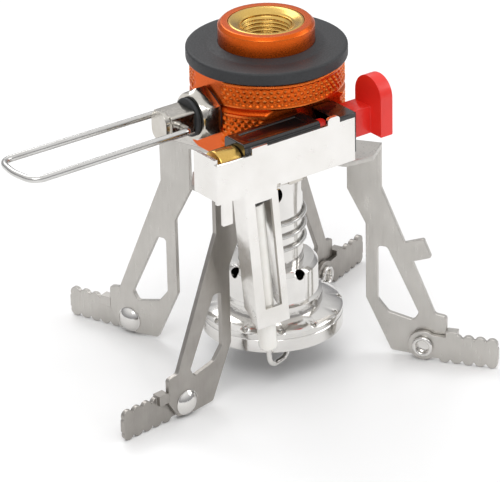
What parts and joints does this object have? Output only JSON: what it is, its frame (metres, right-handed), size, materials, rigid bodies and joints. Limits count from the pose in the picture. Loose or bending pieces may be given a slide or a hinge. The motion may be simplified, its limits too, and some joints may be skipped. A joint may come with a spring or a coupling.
{
  "type": "canister stove",
  "caption": "Small upright gas stove that screws onto a canister: valve with folding wire handle, push-button piezo igniter, burner on a tube and folding serrated pot supports.",
  "frame": {"origin": "centre of the canister thread's mouth, 1 mm below the nose rim", "axes": "+Z out of the canister thread, +X along the igniter towards its button, the valve handle along -X"},
  "size_m": [0.111, 0.0824, 0.0805],
  "materials": {
    "black_rubber": "moulded rubber, matte",
    "brass": "turned brass, satin",
    "bright_sheet": "bright nickel-plated sheet",
    "bright_wire": "bright plated wire",
    "brushed_stainless": "brushed stainless sheet",
    "gloss_black_plastic": "moulded, glossy black",
    "nickel": "nickel plated, bright",
    "orange_anodised": "orange anodised, satin",
    "piezo_ceramic": "fired ceramic",
    "polished_stainless": "polished stainless",
    "red_plastic": "moulded, red, satin gloss",
    "steel_gauze": "woven or pressed steel",
    "white_ceramic": "glazed white ceramic"
  },
  "bodies": {
    "stove_body": {"valve_body": "orange_anodised", "thread_insert": "brass", "rubber_ring": "black_rubber", "socket_seal": "black_rubber", "opening_pin": "brass", "inlet_filter": "steel_gauze", "neck_stem": "brass", "jet": "brass", "nut_seal": "black_rubber", "packing_nut": "nickel", "packing_ring": "black_rubber", "spindle_seal": "black_rubber", "igniter_bracket": "bright_sheet", "igniter_housing": "gloss_black_plastic", "end_frame": "gloss_black_plastic", "ferrule": "brass", "piezo_crystal": "piezo_ceramic", "hammer": "polished_stainless", "return_spring": "bright_wire", "ignition_lead": "black_rubber", "ceramic_holder": "gloss_black_plastic", "ceramic_tube": "white_ceramic", "electrode_wire": "polished_stainless", "spacer_washer": "polished_stainless", "wave_washer": "polished_stainless", "hub_nut": "nickel", "mixing_tube": "polished_stainless", "tube_coil": "bright_wire", "burner_cup": "polished_stainless", "burner_flange": "polished_stainless", "burner_gauze": "steel_gauze", "burner_face": "steel_gauze"},
    "valve_spindle": {"spindle": "nickel", "handle_block": "nickel"},
    "handle": {"wire_handle": "bright_wire"},
    "button": {"push_button": "red_plastic"},
    "support_a": {"support_bracket_a": "brushed_stainless", "rivet_left": "polished_stainless", "rivet_right": "polished_stainless"},
    "support_b": {"support_bracket_b": "brushed_stainless", "rivet_front": "polished_stainless", "rivet_back": "polished_stainless"},
    "blade_left": {"blade_left": "brushed_stainless"},
    "blade_right": {"blade_right": "brushed_stainless"},
    "blade_front": {"blade_front": "brushed_stainless"},
    "blade_back": {"blade_back": "brushed_stainless"}
  },
  "joints": [
    {"name": "valve_turn", "type": "hinge", "parent": "stove_body", "child": "valve_spindle", "pos_m": [-0.02, 0, -0.0158], "axis": [-1, 0, 0], "range_deg": [0, 720]},
    {"name": "handle_fold", "type": "hinge", "parent": "valve_spindle", "child": "handle", "pos_m": [-0.02507, 0, -0.0158], "axis": [0, 1, 0], "range_deg": [-90, 90]},
    {"name": "button_press", "type": "slide", "parent": "stove_body", "child": "button", "axis": [-1, 0, 0], "range_m": [0, 0.004], "stiffness_N_per_m": 500, "springref_m": -0.001, "deforming": ["return_spring"]},
    {"name": "support_a_swivel", "type": "hinge", "parent": "stove_body", "child": "support_a", "pos_m": [0, 0, -0.0291], "axis": [0, 0, 1], "range_deg": [0, 9]},
    {"name": "support_b_swivel", "type": "hinge", "parent": "stove_body", "child": "support_b", "pos_m": [0, 0, -0.0304], "axis": [0, 0, 1], "range_deg": [-25, 0]},
    {"name": "blade_left_fold", "type": "hinge", "parent": "support_a", "child": "blade_left", "pos_m": [-0.0119, 0.031, -0.076], "axis": [-0.9336, -0.3584, 0], "range_deg": [0, 165]},
    {"name": "blade_right_fold", "type": "hinge", "parent": "support_a", "child": "blade_right", "pos_m": [0.01951, -0.02686, -0.076], "axis": [0.809, 0.5878, 0], "range_deg": [0, 165]},
    {"name": "blade_front_fold", "type": "hinge", "parent": "support_b", "child": "blade_front", "pos_m": [-0.03297, -0.00393, -0.076], "axis": [0.1184, -0.993, 0], "range_deg": [0, 165]},
    {"name": "blade_back_fold", "type": "hinge", "parent": "support_b", "child": "blade_back", "pos_m": [0.03083, 0.01233, -0.076], "axis": [-0.3714, 0.9285, 0], "range_deg": [0, 165]}
  ]
}
